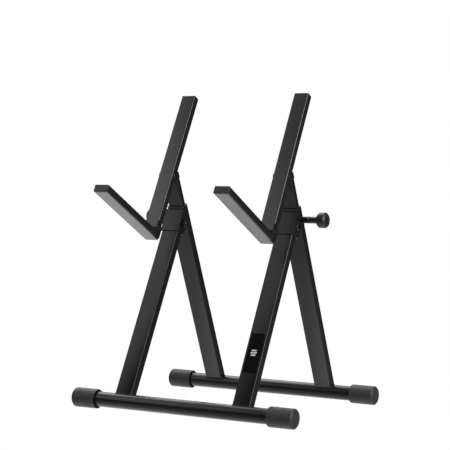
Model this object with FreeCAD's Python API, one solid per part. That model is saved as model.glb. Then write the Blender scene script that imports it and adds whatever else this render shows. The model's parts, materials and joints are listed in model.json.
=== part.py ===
import FreeCAD, Part
import math
import os

# Folding two-arm amplifier stand.  Millimetres and degrees.
# X runs across the stand, Y from the front foot to the rear foot, Z up.
# The origin is on the floor, at the middle of the stand's outline.
# Each side is drawn about its own leg plane with +X outwards; the left side is its mirror image.

V = FreeCAD.Vector

# Base feet
base_spread = 308.0        # front foot axis to rear foot axis
base_length = 414.0        # overall length of a foot with its caps
base_tube_od = 25.0
base_tube_wall = 1.5
cap_wall = 3.65            # rubber around the tube
cap_length = 45.0
cap_floor = 4.0            # cap material beyond the tube's end
cap_edge = 1.6             # chamfer on both rims of a cap
cap_rim = 3.2              # raised ring around the recess in a cap's end
cap_recess_depth = 0.8
cap_dimple_od = 3.0

# Legs
leg_inset = 96.0           # leg plane in from the foot's end
pivot_height = 308.7
front_lean = 27.4          # front leg, back bar and pivot line lean back by this
front_leg_depth = 16.3
front_leg_wall = 1.2
rear_leg_width = 32.5
rear_leg_depth = 15.3
rear_leg_wall = 1.0
rim_above_pivot = 25.0     # rear leg's rim above the fold pivot, measured along the leg
pivot_setback = 20.8       # pivot axis ahead of the rear leg's centre line
leg_corner = 1.8

# Hinge bracket that joins a rear leg to its front leg
bracket_sheet = 1.5
bracket_below_pivot = 17.5
bracket_lap = 4.0          # how far a cheek overlaps the rear leg's side
bracket_heel = 10.0        # cheek's lower back corner behind the pivot line
bracket_shoulder = 1.0     # cheek's upper corners below the web's top
bracket_clear = 0.5        # web clear of the rear leg's front face

# Pivot hardware
pivot_bolt_od = 8.0
pivot_head_od = 11.5
pivot_head_height = 2.8
pivot_head_edge = 2.0      # rounding of the head's rim
pivot_nut_flats = 13.0
pivot_nut_height = 6.5
pivot_sleeve_wall = 1.4
pivot_washer_od = 15.0
pivot_washer_thick = 0.4
bolt_tail = 1.5            # bolt end beyond its nut

# Height adjusting riser
riser_wall = 1.2
riser_length = 190.0
collar_flange = 1.6
collar_skirt = 13.0
plug_flange = 3.0
plug_spigot = 12.0

# Tilt fork and back bar
tilt_above_pivot = 85.85   # tilt rivet above the fold pivot, measured along the rear leg
tilt_ahead = 8.4           # tilt rivet ahead of the riser's centre line
fork_sheet = 1.0
fork_base = 1.5
fork_eye_radius = 5.5
tilt_rivet_od = 6.0
tilt_head_od = 9.0
tilt_head_height = 1.6
tilt_head_edge = 1.2
tilt_washer_od = 9.5
tilt_washer_thick = 0.5
tilt_peen_od = 7.6
tilt_peen_height = 0.7
tilt_peen_edge = 0.5
tilt_sleeve_wall = 0.5
bar_width = 27.0           # over the rubber
bar_depth = 14.2
bar_rubber = 1.6
bar_wall = 1.2
bar_above_tilt = 156.6
arm_hinge_below_tilt = 99.6
rubber_corner = 2.2
end_cap_head = 2.5
end_cap_edge = 1.0
end_cap_spigot = 15.0

# Support arm
arm_length = 174.9
arm_depth = 13.1
arm_rubber = 1.4
arm_wall = 1.2
arm_pin_od = 5.0
arm_pin_head_od = 8.0
arm_pin_head_height = 1.0
arm_pin_head_edge = 0.8
arm_plate = 1.3
arm_eye_radius = 6.0
arm_web_above_pin = 3.5
arm_relief = 0.4           # the arm's rubber is thinner under the back bar's foot

# Height clamp
clamp_above_pivot = 3.55   # clamp screw above the fold pivot, measured along the rear leg
clamp_screw_od = 8.0
boss_od = 11.4
boss_length = 14.5
knob_neck_length = 16.4
knob_head_od = 26.0
knob_head_length = 16.0
knob_edge = 2.8
knob_gap = 0.4             # neck clear of the boss when the clamp is tight
screw_in_knob = 8.0        # screw inside the knob's head
pad_length = 2.5

# Label plate on the right front leg
label_bottom = 66.0        # from the front foot's axis, along the leg
label_length = 67.5
label_margin = 3.9         # label's edge in from the leg's side
label_thick = 0.8
label_corner = 1.5

# Clearances
run_fit = 0.1              # radial, turning or sliding parts
seat_fit = 0.05            # radial, parts that are pressed or pushed in once
riser_gap = 1.2            # riser inside the rear leg, guided by its collar and plug
stop_gap = 0.3             # faces of different bodies that come to rest on each other
pad_gap = 0.05
side_gap = 0.2             # hinge plates and fork cheeks beside the back bar

# Places worked out from the sizes above.  y is counted from the front foot's axis here.
cap_od = base_tube_od + 2 * (seat_fit + cap_wall)
cap_recess_od = cap_od - 2 * cap_rim
foot_z = cap_od / 2
leg_plane_x = base_length / 2 - leg_inset
front_leg_width = rear_leg_width - 2 * (pivot_washer_thick + run_fit)
label_width = front_leg_width - 2 * label_margin
pivot_sleeve_od = pivot_bolt_od + 2 * (run_fit + pivot_sleeve_wall)
riser_width = rear_leg_width - 2 * (rear_leg_wall + riser_gap)
riser_depth = rear_leg_depth - 2 * (rear_leg_wall + riser_gap)
front_leg_length = (pivot_height - foot_z) / math.cos(math.radians(front_lean))
pivot_y = front_leg_length * math.sin(math.radians(front_lean))
pivot_reach = math.hypot(base_spread - pivot_y, pivot_height - foot_z)
pivot_bearing = math.degrees(math.atan2(base_spread - pivot_y, pivot_height - foot_z))
rear_lean = pivot_bearing - math.degrees(math.asin(pivot_setback / pivot_reach))
pivot_along = math.sqrt(pivot_reach ** 2 - pivot_setback ** 2)
leg_angle = math.radians(front_lean + rear_lean)
rear_leg_length = pivot_along + rim_above_pivot
clamp_along = pivot_along + clamp_above_pivot
tilt_along = pivot_along + tilt_above_pivot
bracket_width = rear_leg_width + 2 * bracket_sheet
fork_width = bar_width + 2 * (side_gap + fork_sheet)
arm_pin_drop = bar_depth / 2 + stop_gap
arm_behind_pin = bar_depth / 2 + stop_gap
bar_tube_width = bar_width - 2 * bar_rubber
bar_tube_depth = bar_depth - 2 * bar_rubber
arm_tube_width = bar_tube_width + 2 * side_gap
arm_tube_depth = arm_depth - 2 * arm_rubber
stop_reach = bar_depth / 2 + stop_gap + math.cos(leg_angle) * (riser_depth / 2 - tilt_ahead)
fork_seat = tilt_along - stop_reach / math.sin(leg_angle)
riser_top = fork_seat - fork_base
cheek_reach = (riser_depth / 2 + tilt_ahead) * math.cos(leg_angle) - bar_depth / 2
cheek_top = tilt_along + cheek_reach / math.sin(leg_angle)
web_back = front_leg_depth / 2 + stop_gap
web_rise = pivot_setback + web_back * math.cos(leg_angle) - rear_leg_depth / 2 - bracket_clear
web_top = web_rise / math.sin(leg_angle)


def leaning(y, z, lean):
    """Frame whose Z axis runs up a member that leans back by lean; Y points to its back."""
    return FreeCAD.Placement(V(0, y, z), FreeCAD.Rotation(V(1, 0, 0), -lean))


front_frame = leaning(0, foot_z, front_lean)
pivot_frame = leaning(pivot_y, pivot_height, front_lean)
rear_frame = leaning(base_spread, foot_z, -rear_lean)
pivot_point = V(0, pivot_y, pivot_height)
tilt_point = rear_frame.multVec(V(0, -tilt_ahead, tilt_along))
bar_frame = leaning(tilt_point.y, tilt_point.z, front_lean)
arm_point = bar_frame.multVec(V(0, 0, -arm_hinge_below_tilt))
arm_frame = leaning(arm_point.y, arm_point.z, front_lean - 90)
arm_end = arm_frame.multVec(V(0, -arm_pin_drop - arm_depth, arm_length - arm_behind_pin))
outline_middle_y = (arm_end.y + base_spread + cap_od / 2) / 2


def put(shape, frame):
    placed = shape.copy()
    placed.Placement = frame.multiply(placed.Placement)
    return placed


def block(x0, x1, y0, y1, z0, z1):
    return Part.makeBox(x1 - x0, y1 - y0, z1 - z0, V(x0, y0, z0))


def bar(width, depth, z0, z1, corner, y_middle=0.0):
    """Straight bar along Z with rounded long edges."""
    body = block(-width / 2, width / 2, y_middle - depth / 2, y_middle + depth / 2, z0, z1)
    along = [e for e in body.Edges if abs(e.tangentAt(e.FirstParameter).z) > 0.9]
    return body.makeFillet(corner, along)


def box_tube(width, depth, wall, z0, z1, corner, y_middle=0.0):
    inner = bar(width - 2 * wall, depth - 2 * wall, z0 - 1, z1 + 1, corner / 2, y_middle)
    return bar(width, depth, z0, z1, corner, y_middle).cut(inner)


def rod(diameter, x0, x1, y=0.0, z=0.0):
    """Round bar along X."""
    return Part.makeCylinder(diameter / 2, x1 - x0, V(x0, y, z), V(1, 0, 0))


def sleeve(outer, inner, x0, x1, y=0.0, z=0.0):
    return rod(outer, x0, x1, y, z).cut(rod(inner, x0 - 1, x1 + 1, y, z))


def at_x(edge, x):
    return all(abs(vertex.X - x) < 1e-4 for vertex in edge.Vertexes)


def button(diameter, x0, x1, edge):
    """Round head along X whose far rim, at x1, is rounded."""
    head = rod(diameter, min(x0, x1), max(x0, x1))
    return head.makeFillet(edge, [e for e in head.Edges if at_x(e, x1)])


def hexagon(flats, x0, x1):
    radius = flats / 2 / math.cos(math.radians(30))
    corners = [V(x0, radius * math.cos(math.radians(a)), radius * math.sin(math.radians(a)))
               for a in range(0, 361, 60)]
    return Part.Face(Part.makePolygon(corners)).extrude(V(x1 - x0, 0, 0))


def plate(points, x0, x1):
    """Flat plate between x0 and x1 with the outline of points in the YZ plane."""
    corners = [V(x0, p.y, p.z) for p in points]
    return Part.Face(Part.makePolygon(corners + corners[:1])).extrude(V(x1 - x0, 0, 0))


# Feet

def base_tube(y):
    half = base_length / 2 - cap_floor
    return sleeve(base_tube_od, base_tube_od - 2 * base_tube_wall, -half, half, y, foot_z)


def foot_cap(y):
    end = base_length / 2
    body = rod(cap_od, end - cap_length, end)
    rims = [e for e in body.Edges if at_x(e, end) or at_x(e, end - cap_length)]
    body = body.makeChamfer(cap_edge, rims)
    body = body.cut(rod(base_tube_od + 2 * seat_fit, end - cap_length - 1, end - cap_floor))
    body = body.cut(rod(cap_recess_od, end - cap_recess_depth, end + 1))
    body = body.cut(rod(cap_dimple_od, end - 2 * cap_recess_depth, end + 1))
    return put(body, FreeCAD.Placement(V(0, y, foot_z), FreeCAD.Rotation()))


# Legs

def front_leg():
    length = front_leg_length
    half_width = front_leg_width / 2
    body = bar(front_leg_width, front_leg_depth, 0, length, leg_corner)
    body = body.fuse(rod(front_leg_depth, -half_width, half_width, 0, length))
    hollow = bar(front_leg_width - 2 * front_leg_wall, front_leg_depth - 2 * front_leg_wall,
                 -1, length + front_leg_depth, leg_corner / 2)
    body = body.cut(hollow)
    body = body.cut(rod(pivot_bolt_od + 2 * run_fit, -half_width - 1, half_width + 1, 0, length))
    body = put(body, front_frame)
    return body.cut(rod(base_tube_od, -half_width - 1, half_width + 1, 0, foot_z))


def rear_leg():
    half_width = rear_leg_width / 2
    body = box_tube(rear_leg_width, rear_leg_depth, rear_leg_wall, 0, rear_leg_length, leg_corner)
    body = body.cut(rod(clamp_screw_od + 2 * run_fit, 0, half_width + 1, 0, clamp_along))
    body = put(body, rear_frame)
    return body.cut(rod(base_tube_od, -half_width - 1, half_width + 1, base_spread, foot_z))


def hinge_bracket():
    half = bracket_width / 2
    web = put(block(-half, half, -web_back - bracket_sheet, -web_back, -bracket_below_pivot, web_top),
              pivot_frame)
    lap_y = bracket_lap - rear_leg_depth / 2
    outline = [
        pivot_frame.multVec(V(0, -web_back - bracket_sheet, -bracket_below_pivot)),
        pivot_frame.multVec(V(0, -web_back - bracket_sheet, web_top)),
        rear_frame.multVec(V(0, lap_y, pivot_along + web_top - bracket_shoulder)),
        rear_frame.multVec(V(0, lap_y, pivot_along - bracket_shoulder)),
        rear_frame.multVec(V(0, lap_y - 2 * bracket_lap, pivot_along - bracket_heel)),
        pivot_frame.multVec(V(0, bracket_heel, -bracket_below_pivot)),
    ]
    body = web.fuse([plate(outline, -half, -half + bracket_sheet), plate(outline, half - bracket_sheet, half)])
    body = body.cut(rod(pivot_bolt_od + 2 * run_fit, -half - 1, half + 1, pivot_y, pivot_height))
    boss_axis = rear_frame.multVec(V(0, 0, clamp_along))
    clear = rod(boss_od + 2 * stop_gap, 0, half + 1, boss_axis.y, boss_axis.z)
    return body.cut(clear).removeSplitter()


def at_pivot(shape):
    return put(shape, FreeCAD.Placement(pivot_point, FreeCAD.Rotation()))


def pivot_bolt():
    half = bracket_width / 2
    tail = -half - pivot_nut_height - bolt_tail
    body = rod(pivot_bolt_od, tail, half)
    return at_pivot(body.fuse(button(pivot_head_od, half, half + pivot_head_height, pivot_head_edge)))


def pivot_nut():
    half = bracket_width / 2
    body = hexagon(pivot_nut_flats, -half - pivot_nut_height, -half)
    return at_pivot(body.cut(rod(pivot_bolt_od, -half - pivot_nut_height - 1, -half + 1)))


def pivot_sleeve():
    half = front_leg_width / 2 - front_leg_wall
    return at_pivot(sleeve(pivot_sleeve_od, pivot_bolt_od + 2 * run_fit, -half, half))


def pivot_washers():
    half = front_leg_width / 2
    bore = pivot_bolt_od + 2 * run_fit
    outer = sleeve(pivot_washer_od, bore, half, half + pivot_washer_thick)
    inner = sleeve(pivot_washer_od, bore, -half - pivot_washer_thick, -half)
    return at_pivot(Part.makeCompound([outer, inner]))


# Riser and its guides

def guide_collar():
    rim = rear_leg_length
    opening = bar(riser_width + 2 * run_fit, riser_depth + 2 * run_fit,
                  rim - collar_skirt - 1, rim + collar_flange + 1, leg_corner / 2)
    flange = bar(rear_leg_width, rear_leg_depth, rim, rim + collar_flange, leg_corner)
    skirt = bar(rear_leg_width - 2 * rear_leg_wall - 2 * seat_fit,
                rear_leg_depth - 2 * rear_leg_wall - 2 * seat_fit,
                rim - collar_skirt, rim, leg_corner / 2)
    return put(flange.fuse(skirt).cut(opening), rear_frame)


def riser_tube():
    bottom = riser_top - riser_length
    return put(box_tube(riser_width, riser_depth, riser_wall, bottom, riser_top, leg_corner), rear_frame)


def riser_plug():
    bottom = riser_top - riser_length
    flange = bar(rear_leg_width - 2 * rear_leg_wall - 2 * run_fit,
                 rear_leg_depth - 2 * rear_leg_wall - 2 * run_fit,
                 bottom - plug_flange, bottom, leg_corner)
    spigot = bar(riser_width - 2 * riser_wall - 2 * seat_fit, riser_depth - 2 * riser_wall - 2 * seat_fit,
                 bottom, bottom + plug_spigot, leg_corner / 2)
    return put(flange.fuse(spigot), rear_frame)


def tangent_point(start, centre, radius, turn):
    """Where a line from start touches the circle; turn is +1 or -1 for its two sides."""
    reach = math.hypot(centre.y - start.y, centre.z - start.z)
    bearing = math.atan2(centre.z - start.z, centre.y - start.y)
    swing = turn * math.asin(radius / reach)
    length = math.sqrt(reach ** 2 - radius ** 2)
    return V(0, start.y + length * math.cos(bearing + swing), start.z + length * math.sin(bearing + swing))


def tilt_fork():
    """Cheeks whose back edges run on from the riser's as far as the back bar."""
    half = fork_width / 2
    eye = V(0, -tilt_ahead, tilt_along)
    back = V(0, riser_depth / 2, riser_top)
    shoulder = V(0, riser_depth / 2, cheek_top)
    front = V(0, -riser_depth / 2, riser_top)
    outline = [back, shoulder, tangent_point(shoulder, eye, fork_eye_radius, -1), eye,
               tangent_point(front, eye, fork_eye_radius, 1), front]
    seat = block(-half, half, -riser_depth / 2, riser_depth / 2, riser_top, fork_seat)
    cheeks = []
    for x0, x1 in ((-half, -half + fork_sheet), (half - fork_sheet, half)):
        cheeks.append(plate(outline, x0, x1))
        cheeks.append(rod(2 * fork_eye_radius, x0, x1, eye.y, eye.z))
    body = seat.fuse(cheeks).removeSplitter()
    body = body.cut(rod(tilt_rivet_od + 2 * run_fit, -half - 1, half + 1, eye.y, eye.z))
    return put(body, rear_frame)


def at_tilt(shape):
    return put(shape, FreeCAD.Placement(tilt_point, FreeCAD.Rotation()))


def tilt_rivet():
    half = fork_width / 2
    inner = -half - tilt_washer_thick
    head = button(tilt_head_od, half, half + tilt_head_height, tilt_head_edge)
    peen = button(tilt_peen_od, inner, inner - tilt_peen_height, tilt_peen_edge)
    return at_tilt(rod(tilt_rivet_od, inner, half).fuse([head, peen]))


def tilt_washer():
    half = fork_width / 2
    return at_tilt(sleeve(tilt_washer_od, tilt_rivet_od, -half - tilt_washer_thick, -half))


# Back bar

def round_ended(width, depth, top, corner, end_z):
    """Bar along Z whose lower end is rounded about the arm pin, at end_z."""
    return bar(width, depth, end_z, top, corner).fuse(rod(depth, -width / 2, width / 2, 0, end_z))


def tilt_sleeve():
    half = bar_tube_width / 2 - bar_wall - seat_fit
    bore = tilt_rivet_od + 2 * run_fit
    return at_tilt(sleeve(bore + 2 * tilt_sleeve_wall, bore, -half, half))


def bar_holes(extra):
    reach = bar_width
    tilt_hole = rod(tilt_rivet_od + 2 * extra, -reach, reach)
    pin_hole = rod(arm_pin_od + 2 * extra, -reach, reach, 0, -arm_hinge_below_tilt)
    return tilt_hole.fuse(pin_hole)


def bar_tube():
    top = bar_above_tilt - end_cap_head
    body = round_ended(bar_tube_width, bar_tube_depth, top, leg_corner, -arm_hinge_below_tilt)
    hollow = bar(bar_tube_width - 2 * bar_wall, bar_tube_depth - 2 * bar_wall,
                 -arm_hinge_below_tilt - bar_depth, top + 1, leg_corner / 2)
    return put(body.cut(hollow).cut(bar_holes(run_fit)), bar_frame)


def bar_cover():
    top = bar_above_tilt - end_cap_head
    pin_z = -arm_hinge_below_tilt
    body = round_ended(bar_width, bar_depth, top, rubber_corner, pin_z)
    body = body.cut(round_ended(bar_tube_width, bar_tube_depth, top + 1, leg_corner, pin_z))
    plate_top = pin_z + math.hypot(arm_web_above_pin, arm_behind_pin + arm_plate) + stop_gap
    for side in (-1, 1):
        inner = side * bar_tube_width / 2
        outer = side * bar_width
        body = body.cut(block(min(inner, outer), max(inner, outer), -bar_depth, bar_depth,
                              pin_z - bar_depth, plate_top))
    return put(body.cut(bar_holes(2 * stop_gap)), bar_frame)


def end_cap(width, depth, tube_width, tube_depth, wall, end_z, y_middle=0.0):
    """Plastic cap on a bar's end: a head as big as the rubber and a spigot inside the tube."""
    head = bar(width, depth, end_z - end_cap_head, end_z, rubber_corner, y_middle)
    rim = [e for e in head.Edges if all(abs(v.Z - end_z) < 1e-4 for v in e.Vertexes)]
    head = head.makeFillet(end_cap_edge, rim)
    spigot = bar(tube_width - 2 * wall - 2 * seat_fit, tube_depth - 2 * wall - 2 * seat_fit,
                 end_z - end_cap_head - end_cap_spigot, end_z - end_cap_head, leg_corner / 2, y_middle)
    return head.fuse(spigot)


def bar_cap():
    return put(end_cap(bar_width, bar_depth, bar_tube_width, bar_tube_depth, bar_wall, bar_above_tilt),
               bar_frame)


# Support arm.  Its frame is on the hinge pin: Z runs forwards along the arm, Y to its top.

arm_middle = -arm_pin_drop - arm_depth / 2
arm_front = arm_length - arm_behind_pin


def arm_tube():
    return put(box_tube(arm_tube_width, arm_tube_depth, arm_wall, -arm_behind_pin, arm_front - end_cap_head,
                        leg_corner, arm_middle), arm_frame)


def arm_cover():
    front = arm_front - end_cap_head
    body = bar(bar_width, arm_depth, -arm_behind_pin, front, rubber_corner, arm_middle)
    body = body.cut(bar(arm_tube_width, arm_tube_depth, -arm_behind_pin - 1, front + 1, leg_corner, arm_middle))
    plate_front = arm_eye_radius + stop_gap
    for side in (-1, 1):
        inner = side * arm_tube_width / 2
        outer = side * bar_width
        body = body.cut(block(min(inner, outer), max(inner, outer), -2 * arm_depth, 0,
                              -bar_depth, plate_front))
    foot = block(-bar_width, bar_width, -arm_pin_drop - arm_relief, 0, -bar_depth, bar_depth / 2 + stop_gap)
    return put(body.cut(foot), arm_frame)


def arm_cap():
    return put(end_cap(bar_width, arm_depth, arm_tube_width, arm_tube_depth, arm_wall, arm_front, arm_middle),
               arm_frame)


def arm_bracket():
    half = arm_tube_width / 2 + arm_plate
    back = -arm_behind_pin - arm_plate
    bottom = arm_middle - arm_tube_depth / 2 + leg_corner
    web = block(-half, half, bottom, arm_web_above_pin, back, -arm_behind_pin)
    cheeks = []
    for x0, x1 in ((-half, -half + arm_plate), (half - arm_plate, half)):
        cheeks.append(block(x0, x1, bottom, 0, back, arm_eye_radius))
        cheeks.append(block(x0, x1, 0, arm_web_above_pin, back, 0))
        cheeks.append(rod(2 * arm_eye_radius, x0, x1))
    body = web.fuse(cheeks).removeSplitter()
    return put(body.cut(rod(arm_pin_od, -half - 1, half + 1)), arm_frame)


def arm_pin():
    half = arm_tube_width / 2 + arm_plate
    body = rod(arm_pin_od, -half, half)
    heads = [button(arm_pin_head_od, side * half, side * (half + arm_pin_head_height), arm_pin_head_edge)
             for side in (-1, 1)]
    return put(body.fuse(heads), arm_frame)


# Height clamp on the outer side of each rear leg

def at_clamp(shape):
    centre = rear_frame.multVec(V(0, 0, clamp_along))
    return put(shape, FreeCAD.Placement(centre, FreeCAD.Rotation()))


boss_end = rear_leg_width / 2 + boss_length
pad_start = riser_width / 2 + pad_gap
pad_end = pad_start + pad_length
knob_start = boss_end + knob_gap
knob_shoulder = knob_start + knob_neck_length
screw_end = knob_shoulder + screw_in_knob


def clamp_boss():
    return at_clamp(sleeve(boss_od, clamp_screw_od + 2 * run_fit, rear_leg_width / 2, boss_end))


def pressure_pad():
    return at_clamp(rod(clamp_screw_od - 2 * run_fit, pad_start, pad_end))


def clamp_screw():
    return at_clamp(rod(clamp_screw_od, pad_end, screw_end))


def clamp_knob():
    far_end = knob_shoulder + knob_head_length
    head = rod(knob_head_od, knob_shoulder, far_end)
    rims = [e for e in head.Edges if at_x(e, knob_shoulder) or at_x(e, far_end)]
    head = head.makeChamfer(knob_edge, rims)
    body = head.fuse(rod(boss_od, knob_start, knob_shoulder + 1)).removeSplitter()
    return at_clamp(body.cut(rod(clamp_screw_od, knob_start - 1, screw_end)))


# Label plate

def label_plate():
    front = -front_leg_depth / 2
    top = label_bottom + label_length
    body = block(-label_width / 2, label_width / 2, front - label_thick, front, label_bottom, top)
    corners = [e for e in body.Edges if abs(e.tangentAt(e.FirstParameter).y) > 0.9]
    return put(body.makeFillet(label_corner, corners), front_frame)


def on_side(shape, side):
    """Move a shape drawn about its leg plane to the right (+1) or left (-1) side."""
    moved = shape.copy()
    moved.translate(V(leg_plane_x, 0, 0))
    return moved if side > 0 else moved.mirror(V(0, 0, 0), V(1, 0, 0))


def save(node, shape):
    shape = shape.copy()
    shape.translate(V(0, -outline_middle_y, 0))
    if not shape.isValid() or not shape.Solids:
        raise RuntimeError(node + " is not a valid solid")
    solid = shape.Solids[0] if len(shape.Solids) == 1 else Part.makeCompound(shape.Solids)
    solid.exportStep("parts/" + node + ".step")
    box = solid.BoundBox
    print("%-22s %2d  x %7.1f %7.1f  y %7.1f %7.1f  z %7.1f %7.1f" % (
        node, len(shape.Solids), box.XMin, box.XMax, box.YMin, box.YMax, box.ZMin, box.ZMax))


def main():
    os.makedirs("parts", exist_ok=True)
    paired = [front_leg, rear_leg, hinge_bracket, guide_collar, clamp_boss, pivot_bolt, pivot_nut,
              pivot_sleeve, riser_tube, riser_plug, tilt_fork, tilt_rivet, tilt_washer, tilt_sleeve, bar_tube,
              bar_cover, bar_cap, arm_tube, arm_cover, arm_cap, arm_bracket, arm_pin, pressure_pad,
              clamp_screw, clamp_knob]
    for side_name, side in (("left", -1), ("right", 1)):
        for make in paired:
            save(make.__name__ + "_" + side_name, on_side(make(), side))
    washers = pivot_washers()
    save("pivot_washers", Part.makeCompound([on_side(washers, -1), on_side(washers, 1)]))
    save("label_plate", on_side(label_plate(), 1))
    for end_name, y in (("front", 0.0), ("rear", base_spread)):
        save(end_name + "_base_tube", base_tube(y))
        cap = foot_cap(y)
        save(end_name + "_cap_right", cap)
        save(end_name + "_cap_left", cap.mirror(V(0, 0, 0), V(1, 0, 0)))
    point_report = (("fold", pivot_point), ("tilt", tilt_point), ("arm", arm_point),
                    ("clamp", rear_frame.multVec(V(0, 0, clamp_along))))
    for name, point in point_report:
        print("%s axis  y %.3f  z %.3f" % (name, point.y - outline_middle_y, point.z))
    print("rear lean %.4f" % rear_lean)


main()
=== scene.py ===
import json
import math

import bmesh
import bpy
from mathutils import Matrix, Vector


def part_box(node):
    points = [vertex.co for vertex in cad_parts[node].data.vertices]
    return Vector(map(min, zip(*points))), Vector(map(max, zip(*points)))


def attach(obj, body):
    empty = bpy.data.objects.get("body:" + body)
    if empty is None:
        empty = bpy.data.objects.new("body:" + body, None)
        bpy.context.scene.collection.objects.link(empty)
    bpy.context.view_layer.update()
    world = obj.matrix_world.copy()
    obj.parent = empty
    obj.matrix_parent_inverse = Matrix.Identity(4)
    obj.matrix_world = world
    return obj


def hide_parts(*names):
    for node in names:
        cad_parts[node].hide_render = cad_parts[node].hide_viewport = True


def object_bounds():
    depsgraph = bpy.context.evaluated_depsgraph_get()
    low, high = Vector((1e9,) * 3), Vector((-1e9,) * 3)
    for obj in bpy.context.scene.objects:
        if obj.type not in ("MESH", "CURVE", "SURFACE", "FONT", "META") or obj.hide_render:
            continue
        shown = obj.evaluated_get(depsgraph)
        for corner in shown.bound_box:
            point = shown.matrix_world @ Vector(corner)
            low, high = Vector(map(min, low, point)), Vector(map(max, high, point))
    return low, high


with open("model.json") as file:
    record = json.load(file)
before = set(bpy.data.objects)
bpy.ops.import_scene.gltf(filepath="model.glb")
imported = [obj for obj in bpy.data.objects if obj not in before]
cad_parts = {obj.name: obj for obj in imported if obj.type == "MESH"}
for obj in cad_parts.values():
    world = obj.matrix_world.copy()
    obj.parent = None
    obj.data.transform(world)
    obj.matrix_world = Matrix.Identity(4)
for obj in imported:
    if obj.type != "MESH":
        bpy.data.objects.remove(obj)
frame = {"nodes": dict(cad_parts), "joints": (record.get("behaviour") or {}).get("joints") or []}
cad_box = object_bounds()

bl_info = {
    "name": "Folding Amplifier Stand",
    "version": (1, 0, 0),
    "blender": (4, 5, 0),
    "location": "View3D > Sidebar > Stand",
    "description": "Finishes the parts of a folding two-arm amplifier stand around its frame",
    "category": "Object",
}

MM = 0.001
SIDES = (("left", -1), ("right", 1))
RING = 72                       # points round a turned part
FINE_RING = 96                  # points round a foot tube, a cap and a knob
SMALL_RING = 48                 # points round a rivet, a pin, a washer and a screw
POLE = 3e-6                     # points this close become one, which closes a pole
SAME_POINT = 2e-6               # points of a CAD mesh this close are one point
FLAT_ANGLE = math.radians(0.5)  # CAD faces that meet flatter than this are joined up
EDGE_ANGLE = math.radians(40.0)  # edges that turn more than this are rounded
WEAR_GAIN = 6.0                 # how fast wear comes up to full towards an edge
ROPE_SHARE = 0.72               # a weld's solid rope as a share of its ripples' radius
RIDGE_SHARE = 0.42              # a thread ridge's radius as a share of the pitch
MIX_FACTOR, MIX_FIRST, MIX_SECOND, MIX_RESULT = 0, 6, 7, 2      # sockets of a colour Mix node

joints = {joint["name"]: joint for joint in frame["joints"]}


def joint_point(name):
    return Vector(joints[name]["pos_m"])


def lean_of(direction):
    """How far a direction in the YZ plane leans back from upright, in radians."""
    return math.atan2(direction.y, direction.z)


FOLD = joint_point("leg_fold")
TILT = joint_point("tilt_right")
ARM = joint_point("arm_fold_right")
CLAMP = joint_point("clamp_turn_right")
LEG_PLANE = TILT.x
FRONT_LEAN = lean_of(TILT - ARM)
REAR_LEAN = lean_of(Vector(joints["height_right"]["axis"]))

CAMERA_PLACE = Vector((1.1655, -2.0401, 0.3607))
CAMERA_AZIMUTH = math.radians(29.61)
CAMERA_PITCH = math.radians(-1.25)
CAMERA_ROLL = math.radians(0.87)
CAMERA_LENS = 111.5             # millimetres

# Each light's name, place from the stand's middle and size in metres, and power in watts
LIGHTS = (
    ("front_left_softbox", (-1.08, -1.1, 0.85), (1.2, 1.2), 6.2),
    ("right_strip", (1.55, -0.5, 0.8), (0.6, 1.7), 36.0),
    ("back_left_softbox", (-1.0, 0.9, 1.4), (1.5, 1.5), 30.0),
)
# Greys of the room from straight down to straight up
ROOM_STOPS = ((0.0, 1.0), (0.18, 1.0), (0.40, 0.5), (0.46, 0.055), (0.60, 0.055), (0.76, 0.37), (1.0, 0.37))
ROOM_POWER = 1.95
FLAG_DIRECTION = (0.5, 0.87, 0.0)       # towards the dark flag at the back right
FLAG_GREY = (0.02, 0.02, 0.02)
WHITE = (1.0, 1.0, 1.0)


# Properties

def length(name, description, millimetres):
    return bpy.props.FloatProperty(name=name, description=description, default=millimetres * MM,
                                   subtype="DISTANCE", unit="LENGTH", precision=5)


def colour(name, description, grey, tint=0.0):
    return bpy.props.FloatVectorProperty(name=name, description=description, subtype="COLOR", size=3,
                                         default=(grey, grey, grey + tint), min=0.0, max=1.0)


def factor(name, description, value):
    return bpy.props.FloatProperty(name=name, description=description, default=value,
                                   subtype="FACTOR", min=0.0, max=1.0)


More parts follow.
